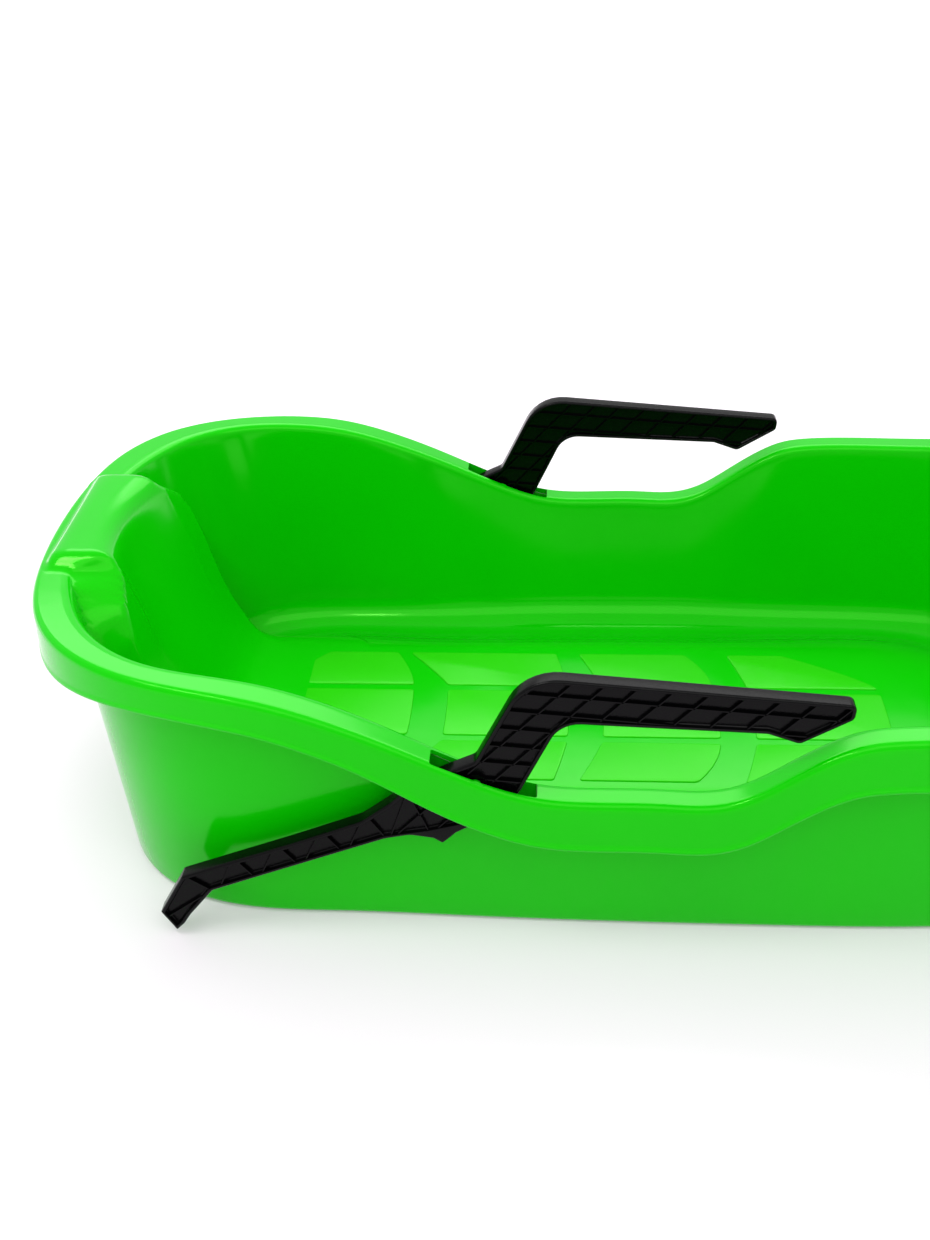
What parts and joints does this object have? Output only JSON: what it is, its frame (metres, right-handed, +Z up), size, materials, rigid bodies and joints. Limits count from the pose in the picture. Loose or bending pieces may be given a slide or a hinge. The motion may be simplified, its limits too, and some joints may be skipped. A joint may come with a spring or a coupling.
{
  "type": "child's plastic bob sled with hand brakes",
  "caption": "One-piece moulded tub sled with a raised seat floor, rolled rim, rear hand hold and a pivoting brake lever on each side.",
  "frame": {"origin": "on the ground under the middle of the sled's length and width", "axes": "+X forward towards the nose, +Y to the rider's left, +Z up"},
  "size_m": [0.9032, 0.4264, 0.218],
  "materials": {
    "green_plastic": "high gloss moulded",
    "black_plastic": "satin moulded"
  },
  "bodies": {
    "tub": {"tub_shell": "green_plastic", "rim": "green_plastic"},
    "lever_left": {"brake_lever_left": "black_plastic"},
    "lever_right": {"brake_lever_right": "black_plastic"}
  },
  "joints": [
    {"name": "brake_left", "type": "hinge", "parent": "tub", "child": "lever_left", "pos_m": [-0.1365, 0.19965, 0.136], "axis": [0, -1, 0], "range_deg": [0, 33]},
    {"name": "brake_right", "type": "hinge", "parent": "tub", "child": "lever_right", "pos_m": [-0.1365, -0.19965, 0.136], "axis": [0, -1, 0], "range_deg": [0, 33]}
  ]
}
